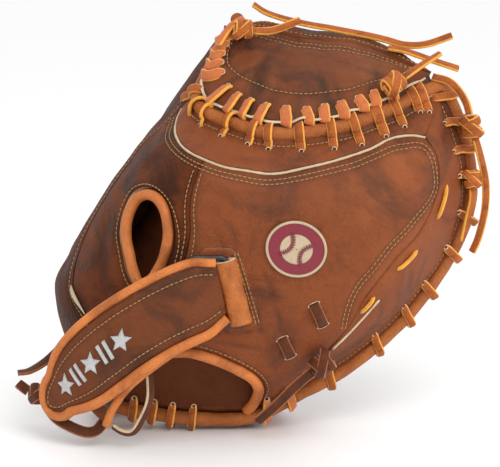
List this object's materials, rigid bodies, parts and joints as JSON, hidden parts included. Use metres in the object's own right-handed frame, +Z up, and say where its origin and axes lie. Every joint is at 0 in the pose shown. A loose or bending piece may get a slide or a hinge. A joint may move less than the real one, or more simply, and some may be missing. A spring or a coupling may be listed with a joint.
{
  "type": "softball catcher mitt",
  "caption": "Leather softball catcher mitt standing on its heel, with a closed web, laced rolled edge, finger hole, wrist strap and round patch.",
  "frame": {"origin": "centre of the footprint at floor level", "axes": "+Z up as the mitt stands on its heel, -Y towards its back with the strap and patch, +Y towards the open pocket, +X towards the thumb side"},
  "size_m": [0.3178, 0.177, 0.2818],
  "materials": {
    "brown_leather": "oiled walnut-brown leather, mottled and lightly burnished",
    "web_leather": "darker oiled leather of the web",
    "orange_leather": "tan-orange leather rolls and bindings, satin",
    "lace_leather": "tan-orange rawhide lacing with raw yellow edges",
    "dark_lace_leather": "dark brown lacing with raw cream edges",
    "cream_piping": "cream piping, matt",
    "crimson_patch": "embroidered crimson patch with a cream rim",
    "black_plastic": "black moulded plastic",
    "black_closure": "black hook-and-loop tape"
  },
  "bodies": {
    "root": {"palm_pad": "brown_leather", "web_side_band": "brown_leather", "thumb_band": "brown_leather", "thumb_panel": "brown_leather", "finger_panel": "brown_leather", "pinky_panel": "brown_leather", "finger_hole_binding": "orange_leather", "wrist_binding": "orange_leather", "cream_piping": "cream_piping", "thumb_roll": "orange_leather", "heel_roll": "orange_leather", "pinky_roll": "orange_leather", "web_roll": "orange_leather", "web_panel": "web_leather", "web_top_band": "web_leather", "strap_binding": "orange_leather", "strap_panel": "brown_leather", "strap_lower": "brown_leather", "strap_closure": "black_closure", "strap_ring": "black_plastic", "strap_keeper": "brown_leather", "round_patch": "crimson_patch", "web_knot_left": "lace_leather", "web_knot_right": "lace_leather", "thumb_knot_upper": "lace_leather", "thumb_knot_lower": "lace_leather", "heel_knot": "dark_lace_leather", "pinky_knot": "dark_lace_leather", "top_lace": "lace_leather", "top_lace_short": "lace_leather", "web_knot_right_tail": "lace_leather", "web_knot_left_tail": "lace_leather", "thumb_lace": "lace_leather", "thumb_tail_upper": "lace_leather", "thumb_tail_lower": "lace_leather", "heel_tail": "dark_lace_leather", "pinky_tail": "dark_lace_leather", "pinky_tail_upper": "dark_lace_leather", "pinky_lace": "dark_lace_leather", "wrist_loop": "dark_lace_leather"}
  },
  "joints": []
}
